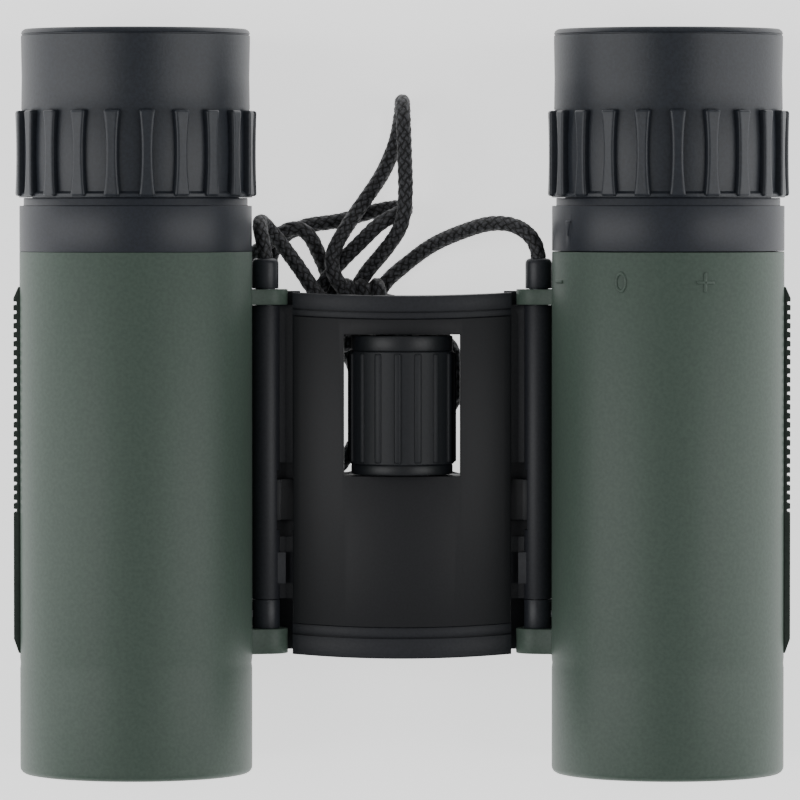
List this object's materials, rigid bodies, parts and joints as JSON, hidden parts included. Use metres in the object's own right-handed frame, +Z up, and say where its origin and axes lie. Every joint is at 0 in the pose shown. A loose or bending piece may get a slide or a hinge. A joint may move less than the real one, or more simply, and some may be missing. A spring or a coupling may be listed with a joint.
{
  "type": "binoculars",
  "caption": "Compact folding binoculars: green barrels hinged to an arched black bridge, with a focus wheel, ribbed rubber eyecups and a bundled neck cord.",
  "frame": {"origin": "on the surface the pair lies on, under the centre of its bounding box", "axes": "+X across the pair towards the barrel with the dioptre ring, +Y along the barrels from the objectives to the eyepieces, +Z up from the surface"},
  "size_m": [0.1104, 0.1056, 0.0344],
  "materials": {
    "green_paint": "satin",
    "grip_rubber": "matte",
    "black_paint": "satin",
    "black_plastic": "matte",
    "black_rubber": "matte",
    "steel": "brushed",
    "coated_glass": "polished",
    "cord": "braided",
    "tie_plastic": "matte"
  },
  "bodies": {
    "bridge": {"bridge_frame": "black_paint", "cover_plate": "black_paint", "underside_cover": "black_paint", "cover_screws": "steel", "left_hinge_sleeve": "steel", "right_hinge_sleeve": "steel", "left_hinge_post": "black_plastic", "right_hinge_post": "black_plastic", "strap_left_run": "cord", "strap_right_run": "cord", "strap_knot": "cord", "strap_hank": "cord", "strap_tie": "tie_plastic"},
    "focus_wheel": {"wheel_hub": "black_plastic", "wheel_grip": "black_rubber", "focus_screw": "steel"},
    "focus_carriage": {"focus_yoke": "black_plastic", "left_focus_rod": "steel", "right_focus_rod": "steel"},
    "left_barrel": {"left_barrel_shell": "green_paint", "left_side_grip": "grip_rubber", "left_hinge_bush": "black_plastic", "left_objective_bezel": "black_plastic", "left_prism_holder": "black_plastic", "left_roof_prism": "coated_glass", "left_half_prism": "coated_glass", "left_prism_clip": "steel", "left_eyepiece_tube": "black_plastic", "left_eyepiece_ring": "black_plastic", "left_eyecup": "black_rubber", "left_ocular_cell": "black_plastic", "left_field_lens": "coated_glass", "left_eye_lens": "coated_glass", "left_ocular_ring": "black_plastic"},
    "right_barrel": {"right_barrel_shell": "green_paint", "right_side_grip": "grip_rubber", "right_hinge_bush": "black_plastic", "right_objective_bezel": "black_plastic", "right_prism_holder": "black_plastic", "right_roof_prism": "coated_glass", "right_half_prism": "coated_glass", "right_prism_clip": "steel", "right_eyepiece_tube": "black_plastic"},
    "left_objective": {"left_objective_cell": "black_plastic", "left_crown_lens": "coated_glass", "left_flint_lens": "coated_glass", "left_lock_ring": "black_plastic", "left_follower": "steel"},
    "right_objective": {"right_objective_cell": "black_plastic", "right_crown_lens": "coated_glass", "right_flint_lens": "coated_glass", "right_lock_ring": "black_plastic", "right_follower": "steel"},
    "dioptre": {"dioptre_ring": "black_plastic", "right_eyecup": "black_rubber"},
    "right_ocular": {"right_ocular_cell": "black_plastic", "cam_pin": "steel", "right_field_lens": "coated_glass", "right_eye_lens": "coated_glass", "right_ocular_ring": "black_plastic"}
  },
  "joints": [
    {"name": "left_fold", "type": "hinge", "parent": "bridge", "child": "left_barrel", "pos_m": [-0.0195, 0, 0.0132], "axis": [0, 1, 0], "range_deg": [0, 80]},
    {"name": "right_fold", "type": "hinge", "parent": "bridge", "child": "right_barrel", "pos_m": [0.0195, 0, 0.0132], "axis": [0, -1, 0], "range_deg": [0, 80]},
    {"name": "wheel_spin", "type": "hinge", "parent": "bridge", "child": "focus_wheel", "pos_m": [0, 0, 0.0132], "axis": [0, 1, 0], "range_deg": [-180, 180]},
    {"name": "carriage_slide", "type": "slide", "parent": "bridge", "child": "focus_carriage", "axis": [0, 1, 0], "range_m": [-0.0012, 0.0012]},
    {"name": "left_objective_slide", "type": "slide", "parent": "left_barrel", "child": "left_objective", "axis": [0, 1, 0], "range_m": [-0.00121, 0.00121]},
    {"name": "right_objective_slide", "type": "slide", "parent": "right_barrel", "child": "right_objective", "axis": [0, 1, 0], "range_m": [-0.00121, 0.00121]},
    {"name": "dioptre_turn", "type": "hinge", "parent": "right_barrel", "child": "dioptre", "pos_m": [0.0378, 0, 0.0172], "axis": [0, 1, 0], "range_deg": [-10.5, 76.5]},
    {"name": "ocular_slide", "type": "slide", "parent": "right_barrel", "child": "right_ocular", "axis": [0, 1, 0], "range_m": [-0.00012, 0.00081]}
  ],
  "couplings": [
    {"joint": "wheel_spin", "follows": "carriage_slide", "rad_per_m": 2618},
    {"joint": "left_objective_slide", "follows": "carriage_slide", "ratio": 1},
    {"joint": "right_objective_slide", "follows": "carriage_slide", "ratio": 1},
    {"joint": "ocular_slide", "follows": "dioptre_turn", "m_per_rad": 0.0006}
  ]
}
